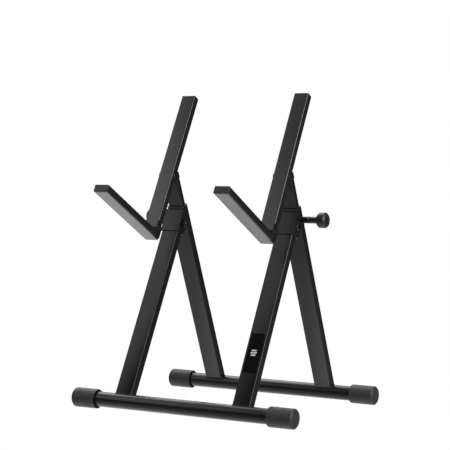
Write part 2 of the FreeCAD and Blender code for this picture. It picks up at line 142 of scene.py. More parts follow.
class StandSizes(bpy.types.PropertyGroup):
    tube_wall: length("Foot tube wall", "Thickness of the foot tube's wall", 1.5)
    cap_floor: length("Cap floor", "Rubber beyond the end of the foot tube", 4.0)
    cap_rim: length("Cap rim", "Rounding of the cap's rims", 2.0)
    cap_lip: length("Cap lip", "Depth of the groove between the cap's mouth and the tube", 2.2)
    cap_dish: length("Cap dish", "Depth of the round recess in the cap's end", 0.9)
    leg_edge: length("Cut edge", "Rounding of the cut ends of tubes", 0.25)
    sheet_edge: length("Sheet edge", "Rounding of the edges of folded sheet steel", 0.35)
    sheet_bend: length("Sheet bend", "Rounding of the hinge bracket's folds", 0.7)
    front_leg_depth: length("Front leg depth", "Front leg tube, front to back", 16.3)
    rear_leg_depth: length("Rear leg depth", "Rear leg tube, front to back", 15.3)
    weld_radius: length("Weld radius", "Half the width of a weld bead", 1.5)
    weld_step: length("Weld step", "Distance between the ripples of a weld bead", 1.15)
    bolt_edge: length("Bolt edge", "Rounding at the foot of a domed bolt head", 0.5)
    pivot_socket: length("Pivot socket", "Width across the flats of the pivot bolt's socket", 5.0)
    pivot_shank: length("Pivot shank", "Diameter of the pivot bolt", 8.0)
    tilt_shank: length("Tilt shank", "Diameter of the tilt rivet", 6.0)
    tilt_peen: length("Tilt peen", "Diameter of the tilt rivet's peened tail", 7.6)
    pin_shank: length("Arm pin shank", "Diameter of the arm's hinge pin", 5.0)
    screw_shank: length("Clamp screw", "Outer diameter of the clamp screw", 8.0)
    thread_pitch: length("Thread pitch", "Pitch of the clamp screw", 1.25)
    knob_head: length("Knob head", "Length of the knob's head", 16.0)
    knob_bevel: length("Knob bevel", "Bevel on both ends of the knob's head", 2.8)
    label_thick: length("Label thickness", "Thickness of the label plate", 0.8)
    mark_size: length("Mark size", "Length of the three bars printed on the label", 11.0)
    rubber_edge: length("Rubber edge", "Rounding of the cut ends of the rubber covers", 0.5)


class StandFinish(bpy.types.PropertyGroup):
    paint: colour("Paint", "Powder coat on legs, brackets and feet", 0.004, 0.0002)
    worn_paint: colour("Worn paint", "Thin powder coat on outer edges", 0.022, 0.001)
    rubber: colour("Rubber", "Covers on the back bars and arms", 0.0055)
    foot_rubber: colour("Foot rubber", "Caps on the feet", 0.0125)
    plastic: colour("Plastic", "Knobs, collars and end caps", 0.006)
    hardware: colour("Hardware", "Black plated bolts and nuts", 0.07, 0.002)
    steel: colour("Steel", "Bright plated sleeves and screws", 0.52, 0.01)
    nylon: colour("Nylon", "Washers and pressure pads", 0.6)
    label: colour("Label", "Gloss label plate", 0.002)
    mark: colour("Mark", "Print on the label plate", 0.55)
    paint_roughness: factor("Paint roughness", "Sheen of the powder coat", 0.33)
    rubber_roughness: factor("Rubber roughness", "Sheen of the covers", 0.3)
    paint_gloss: factor("Paint gloss", "Strength of the powder coat's reflections", 0.36)
    edge_wear: factor("Edge wear", "How much lighter the outer edges are", 0.45)


# Node trees.  A Link is an output socket that arithmetic can be written on.

class Link:
    def __init__(self, sheet, socket):
        self.sheet = sheet
        self.socket = socket

    def _math(self, operation, first, second):
        return self.sheet.add("ShaderNodeMath", {"operation": operation}, {0: first, 1: second})

    def __add__(self, other):
        return self._math("ADD", self, other)

    def __radd__(self, other):
        return self._math("ADD", other, self)

    def __sub__(self, other):
        return self._math("SUBTRACT", self, other)

    def __rsub__(self, other):
        return self._math("SUBTRACT", other, self)

    def __mul__(self, other):
        return self._math("MULTIPLY", self, other)

    def __rmul__(self, other):
        return self._math("MULTIPLY", other, self)

    def __truediv__(self, other):
        return self._math("DIVIDE", self, other)


class Sheet:
    """A node tree that nodes are laid on; add returns one output of the new node as a Link."""

    def __init__(self, tree):
        self.tree = tree

    def add(self, kind, settings=None, inputs=None, output=0):
        node = self.tree.nodes.new(kind)
        for name, value in (settings or {}).items():
            if name == "stops":
                self.set_stops(node, value)
            else:
                setattr(node, name, value)
        for key, value in (inputs or {}).items():
            self.feed(node.inputs[key], value)
        return Link(self, node.outputs[output]) if node.outputs else None

    def set_stops(self, node, stops):
        """Lay a ramp's (position, grey) stops; a new ramp already has two."""
        elements = node.color_ramp.elements
        for _ in range(len(stops) - len(elements)):
            elements.new(0.5)
        for element, (position, grey) in zip(elements, stops):
            element.position = position
            element.color = (grey, grey, grey, 1.0)

    def feed(self, socket, value):
        if isinstance(value, Link):
            self.tree.links.new(value.socket, socket)
        elif isinstance(value, (bpy.types.Material, bpy.types.Object)):
            socket.default_value = value
        elif hasattr(value, "__len__") and len(value) == 3 and socket.type == "RGBA":
            socket.default_value = (*value, 1.0)
        else:
            socket.default_value = value


def noise(sheet, where, scale, detail=2.0, roughness=0.5):
    settings = {"noise_dimensions": "3D"}
    return sheet.add("ShaderNodeTexNoise", settings,
                     {"Vector": where, "Scale": scale, "Detail": detail, "Roughness": roughness})


def mix_colours(sheet, mask, first, second):
    return sheet.add("ShaderNodeMix", {"data_type": "RGBA"},
                     {MIX_FACTOR: mask, MIX_FIRST: first, MIX_SECOND: second}, MIX_RESULT)


def limited(sheet, value):
    return sheet.add("ShaderNodeClamp", {}, {"Value": value})


def outer_edges(sheet, radius):
    """About 1 on convex and concave edges and 0 on open faces."""
    rounded = sheet.add("ShaderNodeBevel", {"samples": 6}, {"Radius": radius})
    plain = sheet.add("ShaderNodeNewGeometry", {}, {}, "Normal")
    cosine = sheet.add("ShaderNodeVectorMath", {"operation": "DOT_PRODUCT"}, {0: rounded, 1: plain}, "Value")
    return limited(sheet, (1.0 - cosine) * WEAR_GAIN)


def new_material(name):
    material = bpy.data.materials.new(name)
    material.use_nodes = True
    material.node_tree.nodes.clear()
    sheet = Sheet(material.node_tree)
    where = sheet.add("ShaderNodeTexCoord", {}, {}, "Object")
    return material, sheet, where


def finish_material(material, sheet, colour_link, roughness, height, strength, depth,
                    metallic=0.0, specular=0.5):
    """Join the colour, the sheen and the bump's height in the material's shader."""
    normal = sheet.add("ShaderNodeBump", {}, {"Strength": strength, "Distance": depth, "Height": height})
    shader = sheet.add("ShaderNodeBsdfPrincipled", {}, {
        "Base Color": colour_link, "Roughness": roughness, "Metallic": metallic, "Normal": normal,
        "Specular IOR Level": specular})
    sheet.add("ShaderNodeOutputMaterial", {}, {"Surface": shader})
    return material


def powder_coat(name, finish):
    """Satin powder coat: orange peel, a slow drift in sheen, and thin paint on the edges."""
    material, sheet, where = new_material(name)
    peel = noise(sheet, where, 1100.0, 2.0)
    speck = noise(sheet, where, 4200.0, 1.0)
    drift = noise(sheet, where, 22.0, 3.0)
    wear = outer_edges(sheet, 0.0009) * noise(sheet, where, 260.0, 4.0, 0.7) * finish.edge_wear
    body = mix_colours(sheet, limited(sheet, wear), finish.paint, finish.worn_paint)
    tinted = mix_colours(sheet, limited(sheet, (speck - 0.62) * 1.5), body, finish.worn_paint)
    roughness = finish.paint_roughness + (drift - 0.5) * 0.12 + (speck - 0.5) * 0.1
    return finish_material(material, sheet, tinted, roughness, peel * 0.7 + speck * 0.3,
                           strength=0.12, depth=0.00012, specular=finish.paint_gloss)


def moulded_rubber(name, base, roughness, grain=2600.0):
    """Matte rubber: fine moulded grain, faint bloom and handling marks."""
    material, sheet, where = new_material(name)
    pores = sheet.add("ShaderNodeTexVoronoi", {"feature": "F1"},
                      {"Vector": where, "Scale": grain}, "Distance")
    bloom = noise(sheet, where, 35.0, 5.0, 0.6)
    marks = noise(sheet, where, 180.0, 3.0, 0.7)
    lighter = tuple(channel * 2.2 + 0.004 for channel in base)
    patches = limited(sheet, (bloom - 0.45) * 0.9 + (marks - 0.5) * 0.3)
    body = mix_colours(sheet, patches, base, lighter)
    sheen = roughness + (bloom - 0.5) * 0.14 + (marks - 0.5) * 0.08
    return finish_material(material, sheet, body, sheen, pores * 0.6 + marks * 0.4,
                           strength=0.18, depth=0.00015, specular=0.6)


def moulded_plastic(name, base, roughness):
    """Spark-grained moulded plastic with rubbed edges."""
    material, sheet, where = new_material(name)
    grain = noise(sheet, where, 3000.0, 3.0, 0.65)
    drift = noise(sheet, where, 60.0, 2.0)
    rubbed = outer_edges(sheet, 0.0006) * drift
    lighter = tuple(channel * 3.0 + 0.01 for channel in base)
    body = mix_colours(sheet, limited(sheet, rubbed * 0.8), base, lighter)
    sheen = roughness + (drift - 0.5) * 0.1 - rubbed * 0.12
    return finish_material(material, sheet, body, sheen, grain,
                           strength=0.16, depth=0.0001, specular=0.45)


def plated_steel(name, base, roughness, turned=0.0):
    """Plated steel: fine turning lines round X, cloudy passivation and bright corners."""
    material, sheet, where = new_material(name)
    stretched = sheet.add("ShaderNodeMapping", {}, {"Vector": where, "Scale": (40.0, 1.0, 1.0)})
    lines = noise(sheet, stretched, 160.0, 2.0)
    cloud = noise(sheet, where, 420.0, 4.0, 0.6)
    bright = outer_edges(sheet, 0.0004)
    darker = tuple(channel * 0.55 for channel in base)
    body = mix_colours(sheet, limited(sheet, cloud * 1.2 - bright * 0.6), base, darker)
    sheen = roughness + (cloud - 0.5) * 0.2
    height = lines * turned + cloud * (1.0 - turned)
    return finish_material(material, sheet, body, sheen, height,
                           strength=0.15, depth=0.00006, metallic=1.0)


def label_gloss(name, base):
    """Gloss plate with faint polishing marks and a little dust."""
    material, sheet, where = new_material(name)
    stretched = sheet.add("ShaderNodeMapping", {}, {"Vector": where, "Scale": (1.0, 30.0, 30.0)})
    scratches = noise(sheet, stretched, 90.0, 3.0, 0.7)
    dust = noise(sheet, where, 2400.0, 1.0)
    speckled = mix_colours(sheet, limited(sheet, (dust - 0.7) * 2.0), base, (0.03, 0.03, 0.03))
    sheen = 0.09 + scratches * 0.08
    return finish_material(material, sheet, speckled, sheen, scratches,
                           strength=0.03, depth=0.00003, specular=0.025)


def printed_mark(name, base):
    """Pale print whose ink lies a little unevenly."""
    material, sheet, where = new_material(name)
    ink = noise(sheet, where, 900.0, 3.0)
    body = mix_colours(sheet, ink * 0.3, base, tuple(channel * 0.7 for channel in base))
    return finish_material(material, sheet, body, 0.35 + ink * 0.1, ink, strength=0.05, depth=0.00003)


materials = {}


def make_materials(finish):
    grey = tuple(finish.hardware)
    materials.update({
        "paint": powder_coat("satin_powder_coat", finish),
        "rubber": moulded_rubber("cover_rubber", tuple(finish.rubber), finish.rubber_roughness),
        "foot_rubber": moulded_rubber("foot_rubber", tuple(finish.foot_rubber), 0.62, 1900.0),
        "plastic": moulded_plastic("black_plastic", tuple(finish.plastic), 0.46),
        "hardware": plated_steel("black_plated_steel", grey, 0.34, 0.3),
        "steel": plated_steel("bright_plated_steel", tuple(finish.steel), 0.3, 0.8),
        "nylon": moulded_plastic("natural_nylon", tuple(finish.nylon), 0.5),
        "label": label_gloss("label_gloss", tuple(finish.label)),
        "mark": printed_mark("label_print", tuple(finish.mark)),
    })


# Meshes

def leaning(point, lean):
    """Frame on a member that leans back by lean: Z runs up the member and Y points to its back."""
    return Matrix.Translation(point) @ Matrix.Rotation(-lean, 4, "X")


def mirrored(mesh_data, side):
    """The same mesh on the other side of the stand when side is -1."""
    if side < 0:
        mesh_data.transform(Matrix.Diagonal((-1.0, 1.0, 1.0, 1.0)))
        mesh_data.flip_normals()
    return mesh_data


def piece(name, mesh_data, material, body, replaced=(), smooth_angle=35.0):
    """A finished piece: smooth shaded, painted, riding its body and standing for its CAD nodes."""
    obj = bpy.data.objects.new(name, mesh_data)
    bpy.context.scene.collection.objects.link(obj)
    mesh_data.materials.clear()
    mesh_data.materials.append(materials[material])
    mesh_data.shade_smooth()
    mesh_data.set_sharp_from_angle(angle=math.radians(smooth_angle))
    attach(obj, body)
    if replaced:
        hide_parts(*replaced)
    return obj


def stand_in(kind, side_name, side, mesh_data, material, body, smooth_angle=35.0):
    """The finished piece for one side's CAD node; its mesh is given as on the right side."""
    node = kind + "_" + side_name
    piece(node + "_finished", mirrored(mesh_data, side), material, body, (node,), smooth_angle)


def mesh_from(bm, name):
    bmesh.ops.recalc_face_normals(bm, faces=bm.faces)
    mesh_data = bpy.data.meshes.new(name)
    bm.to_mesh(mesh_data)
    bm.free()
    return mesh_data


def welded_copy(node):
    """The CAD node's mesh with its doubles merged and its flat faces joined up."""
    bm = bmesh.new()
    bm.from_mesh(frame["nodes"][node].data)
    bmesh.ops.remove_doubles(bm, verts=bm.verts, dist=SAME_POINT)
    bmesh.ops.dissolve_limit(bm, angle_limit=FLAT_ANGLE, verts=bm.verts, edges=bm.edges)
    mesh_data = bpy.data.meshes.new(node + "_welded")
    bm.to_mesh(mesh_data)
    bm.free()
    return mesh_data


def softened(node, material, body, edge, segments=2):
    """A CAD node with its sharp edges rounded."""
    obj = piece(node + "_finished", welded_copy(node), material, body, (node,))
    bevel = obj.modifiers.new("rounded edges", "BEVEL")
    bevel.width = edge
    bevel.segments = segments
    bevel.limit_method = "ANGLE"
    bevel.angle_limit = EDGE_ANGLE
    bevel.harden_normals = True
    bevel.use_clamp_overlap = True
    return obj


def painted(node, material):
    """A CAD node that keeps its own mesh."""
    node_mesh = frame["nodes"][node].data
    node_mesh.materials.clear()
    node_mesh.materials.append(materials[material])


def circle(x, radius, points=RING):
    """Ring of points round the X axis."""
    return [Vector((x, radius * math.cos(math.tau * i / points), radius * math.sin(math.tau * i / points)))
            for i in range(points)]


def hexagon_radius(flats, angle):
    """Distance from the middle to a hexagon's side in the direction of angle."""
    sector = math.radians(60)
    return flats / 2 / math.cos((angle + sector / 2) % sector - sector / 2)


def hexagon(x, flats, limit=math.inf):
    """Hexagonal ring whose corners are turned down to the radius limit."""
    ring = []
    for i in range(RING):
        angle = math.tau * i / RING
        radius = min(hexagon_radius(flats, angle), limit)
        ring.append(Vector((x, radius * math.cos(angle), radius * math.sin(angle))))
    return ring


def skin(rings, centre, name, closed_loop=False):
    """Closed solid through a row of rings; a loop of rings makes a tube, otherwise both ends are filled."""
    bm = bmesh.new()
    levels = [[bm.verts.new(point + centre) for point in ring] for ring in rings]
    pairs = list(zip(levels, levels[1:]))
    if closed_loop:
        pairs.append((levels[-1], levels[0]))
    points = len(levels[0])
    for low, high in pairs:
        for i in range(points):
            after = (i + 1) % points
            bm.faces.new((low[i], low[after], high[after], high[i]))
    if not closed_loop:
        bm.faces.new(levels[0])
        bm.faces.new(levels[-1])
    bmesh.ops.remove_doubles(bm, verts=bm.verts, dist=POLE)
    return mesh_from(bm, name)


def rounded_profile(corners, steps=5):
    """Outline of (x, radius, rounding) corners with each corner replaced by an arc."""
    outline = []
    for index, (x, radius, rounding) in enumerate(corners):
        here = Vector((x, radius))
        if rounding <= 0 or index in (0, len(corners) - 1):
            outline.append(here)
            continue
        before = Vector(corners[index - 1][:2]) - here
        after = Vector(corners[index + 1][:2]) - here
        reach = rounding * math.tan((math.pi - before.angle(after)) / 2)
        start = here + before.normalized() * reach
        end = here + after.normalized() * reach
        for step in range(steps + 1):
            t = step / steps
            outline.append(start * (1 - t) ** 2 + here * 2 * t * (1 - t) + end * t ** 2)
    return outline


def turned(corners, centre, name, points=RING, closed_loop=False, steps=5):
    """Part turned about X from its outline."""
    rings = [circle(p.x, max(p.y, POLE / 3), points) for p in rounded_profile(corners, steps)]
    return skin(rings, centre, name, closed_loop)


def node_span(node):
    """(lowest x, highest x, radius) of a round CAD node whose axis is X."""
    low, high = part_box(node)
    return low.x, high.x, (high.z - low.z) / 2


def axis_point(node):
    """Where the axis of a round CAD node that lies along X crosses the middle plane."""
    low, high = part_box(node)
    centre = (low + high) / 2
    return Vector((0, centre.y, centre.z))


# Geometry node trees

def new_tree(name, sizes):
    """A geometry tree with a Geometry input, the named float or int sizes and a Material."""
    tree = bpy.data.node_groups.new(name, "GeometryNodeTree")
    tree.interface.new_socket("Geometry", in_out="INPUT", socket_type="NodeSocketGeometry")
    for size_name, kind in sizes:
        tree.interface.new_socket(size_name, in_out="INPUT", socket_type=kind)
    tree.interface.new_socket("Material", in_out="INPUT", socket_type="NodeSocketMaterial")
    tree.interface.new_socket("Geometry", in_out="OUTPUT", socket_type="NodeSocketGeometry")
    sheet = Sheet(tree)
    entry = tree.nodes.new("NodeGroupInput")
    given = {socket.name: Link(sheet, socket) for socket in entry.outputs if socket.name}
    return tree, sheet, given


def end_tree(tree, sheet, geometry, material):
    real = sheet.add("GeometryNodeRealizeInstances", {}, {"Geometry": geometry})
    dressed = sheet.add("GeometryNodeSetMaterial", {}, {"Geometry": real, "Material": material})
    exit_node = tree.nodes.new("NodeGroupOutput")
    tree.links.new(dressed.socket, exit_node.inputs["Geometry"])


def join_geometry(sheet, parts):
    """Join Geometry takes all its parts on one socket."""
    node = sheet.tree.nodes.new("GeometryNodeJoinGeometry")
    for part in reversed(parts):
        sheet.tree.links.new(part.socket, node.inputs[0])
    return Link(sheet, node.outputs[0])


def grown(tree, start_mesh, values, name):
    """The tree's result on start_mesh as a plain mesh."""
    helper = bpy.data.objects.new(name + "_path", start_mesh)
    bpy.context.scene.collection.objects.link(helper)
    modifier = helper.modifiers.new("grow", "NODES")
    modifier.node_group = tree
    for item in tree.interface.items_tree:
        if item.in_out == "INPUT" and item.name in values:
            modifier[item.identifier] = values[item.name]
    helper.update_tag()
    graph = bpy.context.evaluated_depsgraph_get()
    result = bpy.data.meshes.new_from_object(helper.evaluated_get(graph), depsgraph=graph)
    result.name = name
    bpy.data.objects.remove(helper)
    return result


def weld_tree():
    """Ripples laid along a path over a solid rope."""
    tree, sheet, given = new_tree("weld_bead", (
        ("Bead Radius", "NodeSocketFloat"), ("Step", "NodeSocketFloat"), ("Seed", "NodeSocketInt")))
    path = sheet.add("GeometryNodeMeshToCurve", {}, {"Mesh": given["Geometry"]})
    spaced = sheet.add("GeometryNodeResampleCurve", {"mode": "LENGTH"},
                       {"Curve": path, "Length": given["Step"]})
    ripple = sheet.add("GeometryNodeMeshUVSphere", {},
                       {"Segments": 12, "Rings": 8, "Radius": given["Bead Radius"]})
    tangent = sheet.add("GeometryNodeInputTangent")
    turn = sheet.add("FunctionNodeAlignEulerToVector", {"axis": "X"}, {"Vector": tangent})
    size = sheet.add("FunctionNodeRandomValue", {"data_type": "FLOAT"},
                     {"Min": 0.88, "Max": 1.08, "Seed": given["Seed"]}, 1)
    flat = sheet.add("ShaderNodeCombineXYZ", {}, {"X": size * 0.75, "Y": size, "Z": size * 0.8})
    ripples = sheet.add("GeometryNodeInstanceOnPoints", {}, {
        "Points": spaced, "Instance": ripple, "Rotation": turn, "Scale": flat})
    section = sheet.add("GeometryNodeCurvePrimitiveCircle", {},
                        {"Resolution": 10, "Radius": given["Bead Radius"] * ROPE_SHARE})
    rope = sheet.add("GeometryNodeCurveToMesh", {}, {"Curve": spaced, "Profile Curve": section})
    joined = join_geometry(sheet, [rope, ripples])
    end_tree(tree, sheet, joined, given["Material"])
    return tree


def thread_tree():
    """A helical thread ridge round X, joined to the screw's core."""
    tree, sheet, given = new_tree("screw_thread", (
        ("Radius", "NodeSocketFloat"), ("Pitch", "NodeSocketFloat"), ("Length", "NodeSocketFloat"),
        ("Start", "NodeSocketVector")))
    turns = given["Length"] / given["Pitch"]
    helix = sheet.add("GeometryNodeCurveSpiral", {}, {
        "Resolution": 32, "Rotations": turns, "Start Radius": given["Radius"], "End Radius": given["Radius"],
        "Height": given["Length"]})
    ridge = sheet.add("GeometryNodeCurvePrimitiveCircle", {},
                      {"Resolution": 4, "Radius": given["Pitch"] * RIDGE_SHARE})
    coil = sheet.add("GeometryNodeCurveToMesh", {},
                     {"Curve": helix, "Profile Curve": ridge, "Fill Caps": True})
    laid = sheet.add("GeometryNodeTransform", {}, {
        "Geometry": coil, "Translation": given["Start"], "Rotation": (0.0, math.radians(90), 0.0)})
    joined = join_geometry(sheet, [given["Geometry"], laid])
    end_tree(tree, sheet, joined, given["Material"])
    return tree


def loop_mesh(points, name):
    """A closed path of edges."""
    mesh_data = bpy.data.meshes.new(name)
    total = len(points)
    mesh_data.from_pydata([tuple(p) for p in points], [(i, (i + 1) % total) for i in range(total)], [])
    return mesh_data


def saddle_path(width, depth, tube_radius, corner=0.002, corner_steps=5):
    """Where a rectangular leg meets a round foot tube, in the leg's frame."""
    points = []
    for quarter in range(4):
        across = 1 if quarter in (0, 3) else -1
        along = 1 if quarter in (0, 1) else -1
        middle = Vector((across * (width / 2 - corner), along * (depth / 2 - corner)))
        for step in range(corner_steps + 1):
            angle = math.radians(90) * (quarter + step / corner_steps)
            spot = middle + Vector((math.cos(angle), math.sin(angle))) * corner
            points.append(Vector((spot.x, spot.y, math.sqrt(tube_radius ** 2 - spot.y ** 2))))
    return points


def weld(name, path, centre_frame, side, body, values, tree):
    """A weld bead grown along a closed path that is given in centre_frame."""
    placed = [centre_frame @ point for point in path]
    values = dict(values, Material=materials["paint"])
    mesh_data = mirrored(grown(tree, loop_mesh(placed, name + "_loop"), values, name), side)
    piece(name, mesh_data, "paint", body, smooth_angle=60.0)


# Operators, one for each group of pieces

class BuildFeet(bpy.types.Operator):
    """Foot tubes and their rubber caps"""
    bl_idname = "stand.build_feet"
    bl_label = "Feet"

    def execute(self, context):
        sizes = context.scene.stand_sizes
        for end, body in (("front", "front_frame"), ("rear", "rear_frame")):
            self.tube(sizes, end, body)
            for side_name, side in SIDES:
                self.cap(sizes, end, side_name, side, body)
        return {"FINISHED"}

    def tube(self, sizes, end, body):
        node = end + "_base_tube"
        low, high, radius = node_span(node)
        bore = radius - sizes.tube_wall
        edge = sizes.leg_edge
        corners = [(low, bore, 0), (low, radius, edge), (high, radius, edge), (high, bore, 0)]
        mesh_data = turned(corners, axis_point(node), node, FINE_RING, closed_loop=True, steps=3)
        piece(node + "_finished", mesh_data, "paint", body, (node,))

    def cap(self, sizes, end, side_name, side, body):
        node = end + "_cap_right"
        start, finish_x, radius = node_span(node)
        tube_radius = node_span(end + "_base_tube")[2]
        lip = radius - (radius - tube_radius) * 0.35
        dish = finish_x - sizes.cap_dish
        corners = [
            (finish_x - sizes.cap_floor, 0, 0),
            (finish_x - sizes.cap_floor, tube_radius, 0.2 * MM),
            (start + sizes.cap_lip, tube_radius, 0.2 * MM),
            (start + sizes.cap_lip * 0.5, lip - 0.9 * MM, 0.5 * MM),
            (start, lip, 0.4 * MM),
            (start, radius - 0.4 * MM, 0.4 * MM),
            (start + sizes.cap_rim * 0.7, radius, 0.8 * MM),
            (finish_x - sizes.cap_rim * 1.2, radius, 0.9 * MM),
            (finish_x, radius - sizes.cap_rim * 1.1, 0.7 * MM),
            (finish_x, radius * 0.8, 0.3 * MM),
            (dish, radius * 0.76, 0.3 * MM),
            (dish, radius * 0.16, 0.2 * MM),
            (dish - 0.5 * MM, radius * 0.1, 0.2 * MM),
            (dish - 0.5 * MM, 0, 0),
        ]
        mesh_data = turned(corners, axis_point(node), node, FINE_RING, steps=4)
        stand_in(end + "_cap", side_name, side, mesh_data, "foot_rubber", body, 50.0)


class BuildLegs(bpy.types.Operator):
    """Front and rear legs, with the weld beads that hold them to the feet"""
    bl_idname = "stand.build_legs"
    bl_label = "Legs and welds"

    def execute(self, context):
        sizes = context.scene.stand_sizes
        tree = weld_tree()
        bead = {"Bead Radius": sizes.weld_radius, "Step": sizes.weld_step}
        ends = (("front", "front_frame", FRONT_LEAN, sizes.front_leg_depth),
                ("rear", "rear_frame", REAR_LEAN, sizes.rear_leg_depth))
        for number, (end, body, lean, depth) in enumerate(ends):
            tube_low, tube_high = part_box(end + "_base_tube")
            foot = (tube_low + tube_high) / 2
            leg_low, leg_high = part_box(end + "_leg_right")
            path = saddle_path(leg_high.x - leg_low.x, depth, (tube_high.z - tube_low.z) / 2)
            centre = leaning(Vector((LEG_PLANE, foot.y, foot.z)), lean)
            for side_name, side in SIDES:
                softened(end + "_leg_" + side_name, "paint", body, sizes.leg_edge)
                values = dict(bead, Seed=3 * number + side)
                weld(end + "_weld_" + side_name, path, centre, side, body, values, tree)
        return {"FINISHED"}


def bolt_mesh(head_radius, head_end, shoulder, tail, shank, socket, edge, centre, name):
    """Domed socket bolt along X: tail, shank, domed head and hexagon socket."""
    rise = head_end - shoulder
    tip = 0.6 * MM
    dome_steps = 8
    rings = [circle(tail, shank / 2 - tip), circle(tail + tip, shank / 2),
             circle(shoulder, shank / 2), circle(shoulder, head_radius - edge * 0.4)]
    flat = socket * 0.62
    for step in range(dome_steps + 1):
        angle = math.radians(90) * step / dome_steps
        x = shoulder + edge + (rise - edge) * math.sin(angle)
        rings.append(circle(x, flat + (head_radius - flat) * math.cos(angle)))
    rings.append(hexagon(head_end, socket))
    rings.append(hexagon(head_end - rise * 0.6, socket))
    return skin(rings, centre, name)


def nut_mesh(low, high, flats, bore, centre, name):
    """Hexagon nut along X with both faces turned down at the corners."""
    corner = flats / 2 / math.cos(math.radians(30))
    face = flats / 2 * 0.97
    depth = 0.8 * MM
    steps = 5
    rings = [circle(low, bore), hexagon(low, flats, face)]
    for start, step_sign in ((low, 1), (high, -1)):
        ridge = []
        for step in range(1, steps + 1):
            limit = flats / 2 + (corner - flats / 2) * step / steps
            ridge.append(hexagon(start + step_sign * depth * step / steps, flats, limit))
        rings.extend(ridge if step_sign > 0 else reversed(ridge))
    rings.append(hexagon(high, flats, face))
    rings.append(circle(high, bore))
    return skin(rings, centre, name, closed_loop=True)


class BuildHinges(bpy.types.Operator):
    """Fold hinges: brackets, pivot bolts, nuts, sleeves and washers"""
    bl_idname = "stand.build_hinges"
    bl_label = "Fold hinges"

    def execute(self, context):
        sizes = context.scene.stand_sizes
        centre = Vector((0, FOLD.y, FOLD.z))
        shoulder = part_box("hinge_bracket_right")[1].x
        bolt_low, bolt_high, head_radius = node_span("pivot_bolt_right")
        nut_low, nut_high, nut_flat = node_span("pivot_nut_right")
        for side_name, side in SIDES:
            softened("hinge_bracket_" + side_name, "paint", "rear_frame", sizes.sheet_bend, 3)
            bolt = bolt_mesh(head_radius, bolt_high, shoulder, bolt_low, sizes.pivot_shank,
                             sizes.pivot_socket, sizes.bolt_edge, centre, "pivot_bolt")
            stand_in("pivot_bolt", side_name, side, bolt, "hardware", "rear_frame")
            nut = nut_mesh(nut_low, nut_high, 2 * nut_flat, sizes.pivot_shank / 2, centre, "pivot_nut")
            stand_in("pivot_nut", side_name, side, nut, "hardware", "rear_frame")
            painted("pivot_sleeve_" + side_name, "steel")
        painted("pivot_washers", "nylon")
        return {"FINISHED"}


class BuildRisers(bpy.types.Operator):
    """Height risers with their collars, forks, tilt rivets and washers"""
    bl_idname = "stand.build_risers"
    bl_label = "Risers"

    def execute(self, context):
        sizes = context.scene.stand_sizes
        centre = Vector((0, TILT.y, TILT.z))
        for side_name, side in SIDES:
            body = "riser_" + side_name
            softened("riser_tube_" + side_name, "paint", body, sizes.leg_edge)
            softened("tilt_fork_" + side_name, "paint", body, sizes.sheet_edge)
            softened("guide_collar_" + side_name, "plastic", "rear_frame", sizes.leg_edge)
            painted("riser_plug_" + side_name, "plastic")
            painted("tilt_sleeve_" + side_name, "steel")
            rivet = self.rivet(sizes, centre)
            stand_in("tilt_rivet", side_name, side, rivet, "hardware", body)
            washer = self.washer(sizes, centre)
            stand_in("tilt_washer", side_name, side, washer, "hardware", body)
        return {"FINISHED"}

    def rivet(self, sizes, centre):
        """Domed head outside, plain shank, and a peened tail on the washer."""
        low, high, head_radius = node_span("tilt_rivet_right")
        washer_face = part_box("tilt_washer_right")[0].x
        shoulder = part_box("tilt_fork_right")[1].x
        shank = sizes.tilt_shank / 2
        peen = sizes.tilt_peen / 2
        corners = [(low, 0, 0), (low, peen * 0.35, 0.2 * MM), (low + 0.2 * MM, peen * 0.8, 0.4 * MM),
                   (washer_face, peen, 0), (washer_face, shank, 0), (shoulder, shank, 0),
                   (shoulder, head_radius, 0.3 * MM), (high - 0.6 * MM, head_radius * 0.86, 0.8 * MM),
                   (high, head_radius * 0.4, 0.8 * MM), (high, 0, 0)]
        return turned(corners, centre, "tilt_rivet", SMALL_RING)

    def washer(self, sizes, centre):
        low, high, radius = node_span("tilt_washer_right")
        bore = sizes.tilt_shank / 2
        corners = [(low, bore, 0), (low, radius, 0.25 * MM), (high, radius, 0.25 * MM), (high, bore, 0)]
        return turned(corners, centre, "tilt_washer", SMALL_RING, closed_loop=True)


class BuildBars(bpy.types.Operator):
    """Back bars: steel tubes in rubber covers with plastic end caps"""
    bl_idname = "stand.build_bars"
    bl_label = "Back bars"

    def execute(self, context):
        sizes = context.scene.stand_sizes
        for side_name, side in SIDES:
            body = "back_bar_" + side_name
            softened("bar_tube_" + side_name, "paint", body, sizes.leg_edge)
            softened("bar_cover_" + side_name, "rubber", body, sizes.rubber_edge, 3)
            softened("bar_cap_" + side_name, "plastic", body, sizes.leg_edge)
        return {"FINISHED"}


